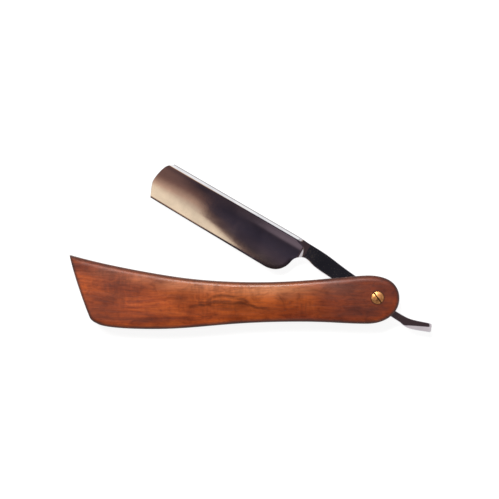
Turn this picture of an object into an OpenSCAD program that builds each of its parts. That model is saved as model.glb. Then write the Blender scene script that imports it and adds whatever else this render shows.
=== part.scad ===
// Straight razor: a hollow-ground blade that folds between two wooden scales.
// The razor lies on its back scale. The origin is the pivot axis where it meets
// the surface that the razor rests on: +X runs from the butt of the scales to
// the pivot, +Y is the side the blade opens to, and +Z is up through the scales.

/* [Pose] */
// Angle between the blade's length and the X axis, as the razor is stored
rest_angle = 30.15; // [20:0.05:60]

/* [Scales] */
// Thickness of each wooden scale
scale_t = 3.2; // [2.4:0.1:4]
// Gap between the scales that holds the blade
gap = 5; // [4.8:0.1:6]
// Width of the rounding along the long edges and round the pivot end
edge_round = 3; // [1:0.1:4]
// Height of that rounding
edge_drop = 1.9; // [1:0.1:2.2]
// Width of the rounding along the slanted cut at the butt
butt_round = 0.6; // [0.3:0.1:1]
// Small easing of the edges that face the gap
inner_ease = 0.25; // [0.1:0.05:0.5]

/* [Wedge] */
// Distance from the pivot axis to the wedge's hollow inner face
wedge_reach = 130; // [128:0.5:134]
// Radius of the two hidden dowels that locate the scales on the wedge
dowel_r = 1; // [0.8:0.1:1.4]
// Wood left outside the end of each dowel
dowel_cover = 1.6; // [1:0.1:2]

/* [Blade] */
// Thickness of the blade at the spine
spine_t = 5.4; // [5:0.1:6]
// Thickness of the tang and shank
tang_t = 4.2; // [3.6:0.1:4.3]
// Thickness at the tip of the tail
tail_tip_t = 3; // [2:0.1:3.6]
// Radius of the grinding wheel that hollows both faces
wheel_r = 74; // [70:0.5:90]
// Radius of the wheel's corner, which leaves the run-out at the heel
wheel_corner_r = 2.8; // [1:0.1:4]
// Distance from the pivot to the far side of that run-out
grind_start = 41.2; // [41:0.1:43]
// Thickness left by the wheel just behind the cutting edge
edge_t = 0.2; // [0.15:0.05:0.4]
// Width of the honed bevel along the cutting edge
bevel_w = 0.7; // [0.4:0.1:1]

/* [Pivot] */
// Radius of the barrel that the blade turns on
barrel_r = 2; // [1.8:0.1:2.2]
// Radial clearance between the barrel and the tang's bore
running_fit = 0.05; // [0.02:0.01:0.1]
// Radius of the domed screw head
head_r = 3.05; // [2.8:0.05:3.5]
// Height of the head's dome above the front scale
head_proud = 0.6; // [0.3:0.1:1]
// Thickness of each brass washer
washer_t = 0.35; // [0.3:0.01:0.38]
// Radius of each brass washer
washer_r = 3.1; // [2.8:0.1:3.4]

/* [Hidden] */
$fn = 64;

// Levels along Z, from the resting surface up
back_inner = scale_t;
front_inner = back_inner + gap;
top_face = front_inner + scale_t;
mid_plane = back_inner + gap / 2;

wood = [0.56, 0.29, 0.19];
steel = [0.72, 0.73, 0.76];
brass = [0.80, 0.62, 0.30];

// Curves: each row is a knot, its outgoing handle, the next knot's incoming
// handle and the number of steps. A row with only a knot starts a straight run.
function bezier(p, q, r, s, n) =
    [for (i = [0:n - 1]) let (t = i / n, u = 1 - t)
        u * u * u * p + 3 * u * u * t * q + 3 * u * t * t * r + t * t * t * s];
function outline(rows) =
    [for (i = [0:len(rows) - 1]) let (row = rows[i], next = rows[(i + 1) % len(rows)])
        each (len(row) == 1 ? row : bezier(row[0], row[1], row[2], next[0], row[3]))];

// Outline of the scales, clockwise from the sharp upper corner of the butt.
// The upper and lower edges have the same number of steps, so that the flat
// faces can be closed with a strip that runs from one edge to the other.
SCALE = outline([
    [[-150.6, 20.8], [-136.0, 16.6], [-117.0, 12.9], 14],
    [[-100.0, 10.3], [-87.0, 8.4], [-74.0, 7.5], 10],
    [[-58.0, 7.5], [-34.0, 7.5], [-12.0, 10.8], 14],
    [[-4.0, 10.8], [6.4, 10.8], [10.8, 5.9], 14],
    [[10.8, -0.4], [10.8, -7.2], [4.6, -12.8], 14],
    [[-5.0, -12.8], [-17.0, -12.8], [-22.0, -11.8], 6],
    [[-38.0, -11.8], [-75.8, -11.8], [-85.7, -15.4], 14],
    [[-110.0, -15.4], [-113.8, -15.4], [-131.9, -15.3], 8],
    [[-136.5, -13.0], [-138.4, -12.1], [-139.8, -11.4], 4],
    [[-140.6, -10.0], [-142.7, -5.5], [-149.1, 12.4], 6]
]);
butt_top = SCALE[0];
butt_low = [-140.6, -10.0];

// Outline of the blade with the spine up: x runs from the pivot to the nose
// and y from the cutting edge to the spine
spine_line = 5.05;
spine_top = 6.65;
nose_top = [120.3, spine_line];
nose_low = [120.9, -13.4];
heel = [56, -14.4];
BLADE = outline([
    [[50, spine_top]],
    [[118.6, spine_top]],
    [nose_top, [122.8, 4.3], [123.95, -2.8], 10],
    [[123.95, -5.2], [123.95, -6.5], [123.5, -8.0], 8],
    [nose_low],
    [heel, [46.3, -14.4], [45.5, -6.3], 14],
    [[45.3, -5.6], [44.7, -3.2], [42.3, -1.1], 8],
    [[40.0, -1.1], [37.0, -1.1], [37.5, -2.3], 6],
    [[30.0, -2.8]],
    [[-16.0, -4.95], [-20.6, -6.3], [-23.0, -4.8], 8],
    [[-29.8, -2.3], [-31.6, -1.6], [-31.4, -1.2], 5],
    [[-30.8, 0.0], [-30.2, 1.6], [-29.8, 2.6], 5],
    [[-28.6, 2.2], [-20.2, -0.7], [-19.5, -1.1], 8],
    [[-14.0, -1.1], [-4.7, -1.1], [-9.7, 0.9], 10],
    [[0.0, 3.2], [28.1, 4.2], [25.0, 6.2], 10],
    [[41.0, 6.2], [44.0, 6.2], [46.0, 6.65], 4]
]);

// ---- scales ----

function unit(v) = v / norm(v);
// Distance of a point from the slanted cut at the butt
function butt_distance(p) =
    let (d = unit(butt_low - butt_top), v = p - butt_top) abs(v.x * d.y - v.y * d.x);
// The long edges are well rounded; the rounding dies away towards the butt
function rounding(p) = min(edge_round, butt_round + 0.5 * butt_distance(p));
// The edges facing the gap are eased, except where the wedge closes it
function easing(p) = norm(p) > wedge_reach ? 0 : inner_ease;
// Inward direction at a point of a clockwise outline, lengthened at corners
function inward(pts, i) =
    let (
        n = len(pts),
        a = unit(pts[i] - pts[(i + n - 1) % n]),
        b = unit(pts[(i + 1) % n] - pts[i]),
        na = [a.y, -a.x],
        nb = [b.y, -b.x]
    ) (na + nb) / (1 + na * nb);

// One scale with its inner face on z = 0 and its outer face on z = scale_t
module scale_blank() {
    steps = 6;
    n = len(SCALE);
    wall_top = scale_t - edge_drop;
    turns = [for (k = [0:steps]) 90 * k / steps];
    rim = [for (t = turns) [1 - cos(t), wall_top + edge_drop * sin(t)]];
    function ring(inset, z) =
        [for (i = [0:n - 1]) let (q = SCALE[i] + inset[i] * inward(SCALE, i)) [q.x, q.y, z]];
    rings = [
        ring([for (p = SCALE) easing(p)], 0),
        ring([for (p = SCALE) 0], inner_ease),
        for (r = rim) ring([for (p = SCALE) r[0] * rounding(p)], r[1])
    ];
    last = (len(rings) - 1) * n;
    strip = [
        [0, 1, n - 1],
        for (i = [1:n / 2 - 2]) [i, i + 1, n - i - 1, n - i],
        [n / 2 - 1, n / 2, n / 2 + 1]
    ];
    polyhedron(
        points = [for (r = rings) each r],
        faces = [
            for (f = strip) [for (i = [len(f) - 1:-1:0]) f[i]],
            for (f = strip) [for (i = f) last + i],
            for (k = [0:len(rings) - 2]) for (i = [0:n - 1])
                let (j = (i + 1) % n) [k * n + i, k * n + j, (k + 1) * n + j, (k + 1) * n + i]
        ],
        convexity = 4
    );
}

head_seat = 0.8;
nut_r = 3.5;
nut_t = 0.9;
nut_sink = 0.1;
seat_clearance = 0.1;
dowel_fit = 0.02;
dowel_spots = [[-141, 9.5], [-138.5, -3.5]];
dowel_z = [dowel_cover, top_face - dowel_cover];

module dowel_holes() {
    for (p = dowel_spots)
        translate([p.x, p.y, dowel_z[0]])
            cylinder(r = dowel_r + dowel_fit, h = dowel_z[1] - dowel_z[0]);
}

module front_scale() {
    color(wood)
    difference() {
        translate([0, 0, front_inner])
            scale_blank();
        translate([0, 0, front_inner - 1])
            cylinder(r = barrel_r + running_fit, h = scale_t + 2);
        translate([0, 0, top_face - head_seat])
            cylinder(r = head_r + seat_clearance, h = 2);
        dowel_holes();
    }
}

module back_scale() {
    color(wood)
    difference() {
        translate([0, 0, back_inner])
            mirror([0, 0, 1])
                scale_blank();
        translate([0, 0, -1])
            cylinder(r = barrel_r + running_fit, h = scale_t + 2);
        translate([0, 0, -1])
            cylinder(r = nut_r + seat_clearance, h = 1 + nut_sink + nut_t);
        dowel_holes();
    }
}

// ---- wedge ----

// Fills the gap at the butt. Its hollow inner face clears the blade's nose.
module wedge() {
    color(wood)
    difference() {
        translate([0, 0, back_inner])
            linear_extrude(height = gap)
                polygon(SCALE);
        translate([0, 0, back_inner - 1])
            cylinder(r = wedge_reach, h = gap + 2, $fn = 128);
        dowel_holes();
    }
}

module wedge_dowels() {
    color(wood * 1.15)
    for (p = dowel_spots)
        translate([p.x, p.y, dowel_z[0]])
            cylinder(r = dowel_r, h = dowel_z[1] - dowel_z[0]);
}

// ---- blade ----

spine_half = spine_t / 2;
tang_half = tang_t / 2;
facet_end = [6.15, 1.38];
ridge_r = 2.156;
// Stations along the blade: the tail's thin end, where it reaches full tang
// thickness, the two ends of the swell into the spine, and past the nose
tail_station = -33;
tang_station = -14;
swell_start = 41;
swell_end = 49;
past_nose = 126;
// Where the chamfered spine begins, just inside the square shoulder
section_start = 46;
shoulder_end = 48;
// The wheel's far end, the height of its lowest line above the mid-plane and
// the place of that line
wheel_far = 130;
wheel_min = edge_t / 2;
wheel_y = -14.6;
// Half the thickness left at the very edge by the honing
honed_half = 0.02;
// Ends of the line where the tail's flats begin, and their slope
tail_line = [[-17.5, -4.9], [-28.5, 1.6]];
tail_slope = 20;
// A cutting block's size where it only has to be larger than the blade
clear = 20;

// Thickness along the blade: tail, tang, swell of the shoulders, spine
module side_profile() {
    upper = [[tail_station, tail_tip_t / 2], [tang_station, tang_half],
             [swell_start, tang_half], [swell_end, spine_half],
             [past_nose, spine_half]];
    n = len(upper);
    rotate([90, 0, 0])
        linear_extrude(height = 3 * clear, center = true)
            polygon(concat(upper, [for (i = [n - 1:-1:0]) [upper[i].x, -upper[i].y]]));
}

// Cross-section of the spine: two flat facets that meet in a rounded ridge
module spine_section() {
    polygon([[-clear, spine_half], [spine_line, spine_half], facet_end,
             [facet_end.x, -facet_end.y], [spine_line, -spine_half], [-clear, -spine_half]]);
    translate([spine_top - ridge_r, 0])
        circle(r = ridge_r);
}

// One grinding wheel: its axis runs along the blade, clear of the face
module wheel() {
    translate([grind_start, wheel_y, wheel_min + wheel_r])
        rotate([0, 90, 0])
            rotate_extrude($fn = 180)
                union() {
                    square([wheel_r - wheel_corner_r, wheel_far - grind_start]);
                    translate([0, wheel_corner_r])
                        square([wheel_r, wheel_far - grind_start - wheel_corner_r]);
                    translate([wheel_r - wheel_corner_r, wheel_corner_r])
                        circle(r = wheel_corner_r);
                }
}

// The honed bevel on one side: a flat cut that follows the cutting edge
module bevel_cut() {
    run = nose_low - heel;
    lean = atan2(edge_t / 2 - honed_half, bevel_w);
    outside = 4;
    translate([heel.x, heel.y, honed_half])
        rotate([0, 0, atan2(run.y, run.x)])
            rotate([lean, 0, 0])
                translate([-clear, -outside, 0])
                    cube([5 * clear, outside + bevel_w, spine_half]);
}

// The ground flat on one side of the tail's tip
module tail_cut() {
    start = tail_line[0];
    run = tail_line[1] - start;
    translate([start.x, start.y, tang_half])
        rotate([0, 0, atan2(run.y, run.x)])
            rotate([-tail_slope, 0, 0])
                translate([-clear / 4, 0, 0])
                    cube([clear * 5 / 4, clear, tang_t]);
}

module blade_blank() {
    intersection() {
        linear_extrude(height = 2 * spine_t, center = true)
            polygon(BLADE);
        side_profile();
        union() {
            translate([-2 * clear, -clear, -spine_t])
                cube([2 * clear + shoulder_end, 2 * clear, 2 * spine_t]);
            translate([section_start, 0, 0])
                rotate([90, 0, 90])
                    linear_extrude(height = past_nose - section_start)
                        spine_section();
        }
    }
}

module blade() {
    color(steel)
    translate([0, 0, mid_plane])
        rotate([0, 0, -rest_angle])
            mirror([1, 0, 0])
                difference() {
                    blade_blank();
                    for (side = [0, 1])
                        mirror([0, 0, side]) {
                            wheel();
                            bevel_cut();
                            tail_cut();
                        }
                    cylinder(r = barrel_r + running_fit, h = clear, center = true);
                }
}

// ---- pivot ----

head_rim = 0.7;
slot_w = 0.7;
slot_depth = 1.0;
slot_angle = -53.5;
slot_reach = 5;
nut_slot_depth = 0.5;
screw_r = 1.2;
screw_reach = 6.5;
barrel_top = front_inner + 1.8;
head_base = top_face - head_seat;
head_top = top_face + head_proud;

// Domed, slotted male screw that enters from the front
module pivot_screw() {
    rise = head_top - head_base - head_rim;
    dome_r = (head_r * head_r + rise * rise) / (2 * rise);
    color(brass)
    difference() {
        union() {
            intersection() {
                translate([0, 0, head_base])
                    cylinder(r = head_r, h = head_top - head_base);
                translate([0, 0, head_top - dome_r])
                    sphere(r = dome_r);
            }
            translate([0, 0, head_base - screw_reach])
                cylinder(r = screw_r, h = screw_reach + head_rim / 2);
        }
        translate([0, 0, head_top - slot_depth])
            rotate([0, 0, slot_angle])
                translate([-slot_reach, -slot_w / 2, 0])
                    cube([2 * slot_reach, slot_w, 2 * slot_depth]);
    }
}

// Female half: a flat slotted head in the back scale and a sleeve that the
// tang turns on
module pivot_barrel() {
    bore_floor = 3;
    color(brass)
    difference() {
        union() {
            translate([0, 0, nut_sink])
                cylinder(r = nut_r, h = nut_t);
            translate([0, 0, nut_sink])
                cylinder(r = barrel_r, h = barrel_top - nut_sink);
        }
        translate([0, 0, bore_floor])
            cylinder(r = screw_r + running_fit, h = barrel_top);
        translate([-slot_reach, -slot_w / 2, -nut_slot_depth])
            cube([2 * slot_reach, slot_w, 2 * nut_slot_depth + nut_sink]);
    }
}

module washer(z) {
    color(brass)
    translate([0, 0, z])
        difference() {
            cylinder(r = washer_r, h = washer_t);
            translate([0, 0, -1])
                cylinder(r = barrel_r + running_fit, h = 3);
        }
}

module front_washer() washer(front_inner - washer_t);

module back_washer() washer(back_inner);

blade();
front_scale();
back_scale();
wedge();
wedge_dowels();
pivot_screw();
pivot_barrel();
front_washer();
back_washer();
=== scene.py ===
"""Straight razor: fine meshes, procedural materials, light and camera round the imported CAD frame."""

import contextlib
import math

import bmesh
import bpy
import numpy as np
from mathutils import Matrix, Vector


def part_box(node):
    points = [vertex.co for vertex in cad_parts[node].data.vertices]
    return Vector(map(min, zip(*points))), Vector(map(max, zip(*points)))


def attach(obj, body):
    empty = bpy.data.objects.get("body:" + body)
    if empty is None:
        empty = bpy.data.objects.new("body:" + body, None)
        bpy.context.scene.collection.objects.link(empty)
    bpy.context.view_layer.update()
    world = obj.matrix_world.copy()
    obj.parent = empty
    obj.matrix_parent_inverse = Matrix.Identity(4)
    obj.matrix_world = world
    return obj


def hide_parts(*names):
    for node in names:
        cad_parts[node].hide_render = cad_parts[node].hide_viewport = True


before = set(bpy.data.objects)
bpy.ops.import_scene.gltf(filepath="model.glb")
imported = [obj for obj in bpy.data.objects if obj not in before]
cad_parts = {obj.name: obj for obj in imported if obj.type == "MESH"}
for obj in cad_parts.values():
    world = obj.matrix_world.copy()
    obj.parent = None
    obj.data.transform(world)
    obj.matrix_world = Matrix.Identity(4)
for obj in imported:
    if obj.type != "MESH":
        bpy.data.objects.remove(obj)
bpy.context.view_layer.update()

# ---- sizes, in millimetres, from the frame and as in the CAD source ----

MM = 0.001


def level(node, corner):
    """Height in millimetres of a CAD node's lowest (0) or highest (1) corner."""
    return round(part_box(node)[corner].z / MM, 3)


# Levels along Z: the back scale lies on 0
BACK_INNER = level("back_scale", 1)
FRONT_INNER = level("front_scale", 0)
SCALE_T = BACK_INNER
MID_PLANE = round((BACK_INNER + FRONT_INNER) / 2, 3)

REST_ANGLE = math.radians(30.15)
BORE_R = 2.05
# The wedge lies past this distance from the pivot
WEDGE_REACH = 130.0

# A curve's row: a knot, its outgoing handle, the next knot's incoming handle, number of steps.
# A straight run's row: a knot, number of steps. The last row is the last knot.
BUTT_TOP = (-150.6, 20.8)
BUTT_LOW = (-140.6, -10)
SCALE_UPPER = [
    [BUTT_TOP, (-136, 16.6), (-117, 12.9), 60],
    [(-100, 10.3), (-87, 8.4), (-74, 7.5), 50],
    [(-58, 7.5), (-34, 7.5), (-12, 10.8), 64],
    [(-4, 10.8), (6.4, 10.8), (10.8, 5.9), 56],
    [(10.8, -0.4)],
]
SCALE_LOWER = [
    [(10.8, -0.4), (10.8, -7.2), (4.6, -12.8), 56],
    [(-5, -12.8), (-17, -12.8), (-22, -11.8), 26],
    [(-38, -11.8), (-75.8, -11.8), (-85.7, -15.4), 66],
    [(-110, -15.4), (-113.8, -15.4), (-131.9, -15.3), 32],
    [(-136.5, -13), (-138.4, -12.1), (-139.8, -11.4), 14],
    [BUTT_LOW, (-142.7, -5.5), (-149.1, 12.4), 36],
    [BUTT_TOP],
]


def bezier(rows):
    """Points along a chain of cubic curves and straight runs."""
    points = []
    for row, following in zip(rows, rows[1:]):
        steps = row[-1]
        knots = [np.array(place, float) for place in (*row[:-1], following[0])]
        for i in range(steps):
            t = i / steps
            u = 1 - t
            if len(knots) == 2:
                p, s = knots
                points.append(p + (s - p) * t)
            else:
                p, q, r, s = knots
                points.append(u**3 * p + 3 * u * u * t * q + 3 * u * t * t * r + t**3 * s)
    points.append(np.array(rows[-1][0], float))
    return np.array(points)


def smooth(x, low, high):
    """Smooth step from 0 at low to 1 at high."""
    t = np.clip((x - low) / (high - low), 0, 1)
    return t * t * (3 - 2 * t)


def smooth_min(a, b, soften):
    """The lower of two heights, with the crease between them softened over a height."""
    h = np.clip(0.5 + 0.5 * (b - a) / soften, 0, 1)
    return b * (1 - h) + a * h - soften * h * (1 - h)


def unit(rows):
    """Each row's vector with a length of 1."""
    return rows / np.maximum(np.linalg.norm(rows, axis=-1, keepdims=True), 1e-9)


POINTS_AT_ONCE = 1500


def nearest_on(points, line):
    """Each point's distance from a closed line, the nearest piece of it and the share along that."""
    run = np.roll(line, -1, axis=0) - line
    length2 = np.maximum((run**2).sum(1), 1e-12)
    found = []
    for i in range(0, len(points), POINTS_AT_ONCE):
        away = points[i : i + POINTS_AT_ONCE, None, :] - line[None]
        share = np.clip((away * run[None]).sum(2) / length2, 0, 1)
        gap = np.linalg.norm(away - share[..., None] * run[None], axis=2)
        piece = gap.argmin(1)
        rows = np.arange(len(piece))
        found.append((gap[rows, piece], piece, share[rows, piece]))
    return [np.concatenate(part) for part in zip(*found)]


# ---- mesh building ----

LATHE_SIDES = 96


def as_object(name, mesh):
    """A new object in the scene from a bmesh, which is freed."""
    data = bpy.data.meshes.new(name)
    mesh.to_mesh(data)
    mesh.free()
    obj = bpy.data.objects.new(name, data)
    bpy.context.scene.collection.objects.link(obj)
    return obj


@contextlib.contextmanager
def editing(obj):
    """The object's mesh, open for changes, which are written back at the end."""
    mesh = bmesh.new()
    mesh.from_mesh(obj.data)
    yield mesh
    mesh.to_mesh(obj.data)
    mesh.free()


def shade_smooth(obj, angle=32.0):
    """Smooth shading, kept crisp at edges sharper than the angle in degrees."""
    limit = math.radians(angle)
    with editing(obj) as mesh:
        for face in mesh.faces:
            face.smooth = True
        for edge in mesh.edges:
            sharp = len(edge.link_faces) == 2 and edge.calc_face_angle(0.0) > limit
            edge.smooth = not sharp


def merge_close(mesh, distance):
    """Joins points closer than the distance and drops what that leaves without area."""
    bmesh.ops.remove_doubles(mesh, verts=mesh.verts, dist=distance * MM)
    bmesh.ops.dissolve_degenerate(mesh, edges=mesh.edges, dist=distance * MM)


def split_large_faces(mesh):
    """Triangles in place of every face with more than four corners."""
    bmesh.ops.triangulate(mesh, faces=[face for face in mesh.faces if len(face.verts) > 4])


def new_object(name, points, faces, merge):
    """A mesh object from points in millimetres. Points closer than merge become one."""
    mesh = bmesh.new()
    verts = [mesh.verts.new(Vector(p) * MM) for p in points]
    for face in faces:
        corners = list(dict.fromkeys(face))
        if len(corners) > 2:
            mesh.faces.new([verts[i] for i in corners])
    merge_close(mesh, merge)
    bmesh.ops.recalc_face_normals(mesh, faces=mesh.faces)
    return as_object(name, mesh)


def two_sheets(top, bottom):
    """Points and faces of a closed body between two grids of the same size."""
    rows, columns = top.shape[:2]
    count = rows * columns
    points = np.concatenate([top.reshape(-1, 3), bottom.reshape(-1, 3)])
    index = np.arange(count).reshape(rows, columns)
    faces = []
    for i in range(rows - 1):
        for j in range(columns - 1):
            a, b, c, d = index[i, j], index[i + 1, j], index[i + 1, j + 1], index[i, j + 1]
            faces.append([a, b, c, d])
            faces.append([count + d, count + c, count + b, count + a])
    rim = [*index[:, 0], *index[-1, 1:], *index[-2::-1, -1], *index[0, -2:0:-1]]
    for a, b in zip(rim, rim[1:] + rim[:1]):
        faces.append([b, a, count + a, count + b])
    return points, faces


def stacked_rings(rings, sides):
    """The faces between rings of points that lie one above the other."""
    faces = []
    for lower_start in range(0, (rings - 1) * sides, sides):
        upper_start = lower_start + sides
        for i in range(sides):
            j = (i + 1) % sides
            faces.append([lower_start + i, lower_start + j, upper_start + j, upper_start + i])
    return faces


def lathe(name, profile):
    """A turned body about the pivot axis. The profile is a list of (radius, height)."""
    turns = [2 * math.pi * k / LATHE_SIDES for k in range(LATHE_SIDES)]
    points = [(r * math.cos(turn), r * math.sin(turn), z) for r, z in profile for turn in turns]
    return new_object(name, points, stacked_rings(len(profile), LATHE_SIDES), merge=0.0005)


def slot_cutter(height, middle, turn=0.0):
    """A box that cuts a screwdriver slot across the pivot, with its edges eased."""
    length, width, ease = 9, 0.7, 0.06
    mesh = bmesh.new()
    bmesh.ops.create_cube(mesh, size=1.0)
    bmesh.ops.scale(mesh, vec=Vector((length, width, height)) * MM, verts=mesh.verts)
    bmesh.ops.bevel(
        mesh, geom=mesh.edges[:], offset=ease * MM, segments=3, profile=0.5, affect="EDGES"
    )
    matrix = Matrix.Rotation(turn, 3, "Z")
    bmesh.ops.rotate(mesh, cent=(0, 0, 0), matrix=matrix, verts=mesh.verts)
    bmesh.ops.translate(mesh, vec=Vector((0, 0, middle)) * MM, verts=mesh.verts)
    return as_object("slot", mesh)


def bore_cutter():
    """A cylinder that cuts the pivot's bore through a scale or the tang."""
    return lathe("bore", [(0.0, -5), (BORE_R, -5), (BORE_R, 20), (0.0, 20)])


def cut(obj, *cutters):
    """Takes the cutters out of a mesh, removes them and cleans the mesh."""
    for cutter in cutters:
        change = obj.modifiers.new("cut", "BOOLEAN")
        change.operation = "DIFFERENCE"
        change.solver = "EXACT"
        change.object = cutter
        graph = bpy.context.evaluated_depsgraph_get()
        result = bpy.data.meshes.new_from_object(obj.evaluated_get(graph))
        obj.modifiers.clear()
        obj.data = result
        bpy.data.objects.remove(cutter)
    with editing(obj) as mesh:
        merge_close(mesh, 0.003)
        split_large_faces(mesh)


def vertex_places(obj):
    """The mesh's points in millimetres."""
    co = np.zeros(len(obj.data.vertices) * 3, np.float32)
    obj.data.vertices.foreach_get("co", co)
    return co.reshape(-1, 3).astype(float) / MM


def store_edge_distance(obj, places, line):
    """Keeps each point's distance from a line, in millimetres, for the material."""
    layer = obj.data.attributes.new("edge_mm", "FLOAT", "POINT")
    layer.data.foreach_set("value", nearest_on(places, line)[0].astype(np.float32))


def edge_shares(width, steps, most):
    """Fine steps in from an edge as shares of the width, squeezed to take at most that share."""
    fit = np.minimum(1.0, most * width / steps[-1])[:, None]
    return fit * np.array(steps)[None] / width[:, None]


def shares_across(near, far, count):
    """Shares across a strip: fine steps at both edges, even ones between."""
    start, stop = near[:, -1:], 1 - far[:, -1:]
    middle = start + (stop - start) * np.linspace(0, 1, count + 2)[1:-1][None]
    return np.concatenate([near, middle, 1 - far[:, ::-1]], axis=1)[..., None]


# ---- scales ----

# Rounding of the outer edges: its width, its height, its width at the butt and how fast it grows
EDGE_ROUND, EDGE_DROP = 3.0, 1.9
BUTT_ROUND, BUTT_GROWTH = 0.6, 0.5
# Fall of the outer face near the edges, how far in it reaches, and how far from the butt it is full
CROWN, CROWN_REACH, CROWN_RUN = 0.32, 4.5, 14
# Easing of the edges that face the gap, slightly wider than in the CAD source
INNER_EASE = 0.3
# Fine steps in from the outline, and the number of steps between them
SCALE_STEPS = [0.0, 0.012, 0.04, 0.09, 0.17, 0.28, 0.43, 0.62, 0.86, 1.15, 1.5, 1.9, 2.35, 2.8, 3.2, 3.8]
SCALE_MIDDLE = 12
# Seats for the screw's head and for the nut, as turned profiles of (radius, height)
HEAD_SEAT = [(0.0, 10.6), (3.15, 10.6), (3.15, 11.25), (3.3, 11.5), (3.3, 13), (0.0, 13)]
NUT_SEAT = [(0.0, -1), (3.75, -1), (3.75, -0.1), (3.6, 0.15), (3.6, 1.0), (0.0, 1.0)]

upper = bezier(SCALE_UPPER)
lower = bezier(SCALE_LOWER)
scale_outline = np.concatenate([upper[:-1], lower[:-1]])


def butt_distance(points):
    """Distance from the line of the slanted cut at the butt."""
    top = np.array(BUTT_TOP)
    d = unit(np.array(BUTT_LOW) - top)
    v = points - top
    return np.abs(v[:, 0] * d[1] - v[:, 1] * d[0])


def scale_grid():
    """Rows of points from the upper edge of a scale to its lower edge."""
    across = lower[::-1]
    width = np.maximum(np.linalg.norm(upper - across, axis=1), 1e-6)
    near = edge_shares(width, SCALE_STEPS, most=0.42)
    share = shares_across(near, near, SCALE_MIDDLE)
    return upper[:, None] * (1 - share) + across[:, None] * share


def scale_mesh(name, inner_level, outward, seat):
    """One scale. Its inner face is at the level given, and outward is 1 up or -1 down."""
    grid = scale_grid()
    flat = grid.reshape(-1, 2)
    edge = nearest_on(flat, scale_outline)[0]
    butt = butt_distance(flat)
    radius = np.minimum(EDGE_ROUND, BUTT_ROUND + BUTT_GROWTH * butt)
    inside = np.clip(1 - edge / radius, 0, 1)
    drop = EDGE_DROP * (1 - np.sqrt(np.clip(1 - inside**2, 0, 1)))
    crown = CROWN * np.exp(-edge / CROWN_REACH) * smooth(butt, 0, CROWN_RUN)
    outer = SCALE_T - drop - crown
    ease = INNER_EASE * (np.linalg.norm(flat, axis=1) < WEDGE_REACH)
    inner = np.clip(ease - edge, 0, None)
    sheets = [
        np.dstack([grid, (inner_level + outward * height).reshape(grid.shape[:2])])
        for height in (outer, inner)
    ]
    obj = new_object(name, *two_sheets(*sheets), merge=0.004)
    cut(obj, bore_cutter(), lathe("seat", seat))
    shade_smooth(obj)
    store_edge_distance(obj, vertex_places(obj)[:, :2], scale_outline)
    return obj


# ---- wedge ----

# The wedge's wall from each joint line inwards: height from the scale, inset from the outline
WEDGE_WALL = [(0.0, 0.13), (0.03, 0.08), (0.1, 0.05), (1.7, 0.03)]
WEDGE_ARC_POINTS = 30


def wedge_loop():
    """The wedge's outline: the scales' outline at the butt, closed by an arc about the pivot."""
    loop = scale_outline[np.linalg.norm(scale_outline, axis=1) > WEDGE_REACH]
    start = int(np.argmax(np.linalg.norm(loop - np.roll(loop, 1, axis=0), axis=1)))
    loop = np.roll(loop, -start, axis=0)
    first, last = (math.atan2(y, x) % (2 * math.pi) for x, y in (loop[-1], loop[0]))
    turns = np.linspace(first, last, WEDGE_ARC_POINTS)
    reach = WEDGE_REACH + 0.1
    return np.concatenate([loop, reach * np.column_stack([np.cos(turns), np.sin(turns)])])


def inward(loop):
    """Inward direction at each point of a loop, lengthened at corners."""
    ahead = unit(np.roll(loop, -1, axis=0) - loop)
    behind = np.roll(ahead, 1, axis=0)
    a = np.column_stack([behind[:, 1], -behind[:, 0]])
    b = np.column_stack([ahead[:, 1], -ahead[:, 0]])
    return (a + b) / np.maximum(1 + (a * b).sum(1), 0.3)[:, None]


def wedge_mesh():
    """The block between the scales at the butt, with lightly eased joint lines."""
    loop = wedge_loop()
    direction = inward(loop)
    wall = [(BACK_INNER + height, inset) for height, inset in WEDGE_WALL]
    wall += [(FRONT_INNER - height, inset) for height, inset in reversed(WEDGE_WALL)]
    rings = [
        np.column_stack([loop + direction * inset, np.full(len(loop), z)]) for z, inset in wall
    ]
    sides = len(loop)
    faces = stacked_rings(len(rings), sides)
    faces.append(list(range(sides)))
    faces.append([(len(rings) - 1) * sides + i for i in range(sides)][::-1])
    obj = new_object("wedge_shaped", np.concatenate(rings), faces, merge=0.002)
    with editing(obj) as mesh:
        split_large_faces(mesh)
        bmesh.ops.recalc_face_normals(mesh, faces=mesh.faces)
    shade_smooth(obj)
    return obj


# ---- blade ----

# In the blade's own plane: a runs from the pivot to the nose, b from the cutting edge to the spine

SPINE_HALF, TANG_HALF, TAIL_TIP_HALF = 2.7, 2.1, 1.5
# Stations along the blade: the tail's thin end, where the tang is full, the swell into the spine.
# The swell and the start of the spine's section are softer than in the CAD source.
TAIL_STATION, TANG_STATION = -33, -14
SWELL = (40.5, 49.5)
# The spine's two facets and its rounded ridge, and the stretch over which they begin
SPINE_LINE, FACET_END, SPINE_TOP = 5.05, 6.15, 6.65
FACET_SLOPE = 1.2
RIDGE_R = 2.156
SECTION_RUN = (45.2, 48.6)
# The grinding wheel: its radius, its corner's, where its run-out starts, its lowest line's height and b
WHEEL_R, WHEEL_CORNER = 74.0, 2.8
GRIND_START = 41.2
WHEEL_MIN, WHEEL_B = 0.1, -14.6
# The flat ground on each side of the tail's tip: where it starts, its direction, its slope, its end
TAIL_FLAT_START = (-17.5, -4.9)
TAIL_FLAT_DIRECTION = (-0.509, -0.861)
TAIL_FLAT_SLOPE = 0.364
TAIL_FLAT_END = -8
# The honed bevel: its width, its rise, half the thickness at the very edge, where it can start
BEVEL_W, BEVEL_RISE, HONED_HALF, HONED_START = 0.7, 0.08, 0.02, 50
THINNEST = 0.004
# A height above the whole blade, for where a wheel or a flat doesn't reach
UNCUT = 99.0

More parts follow.
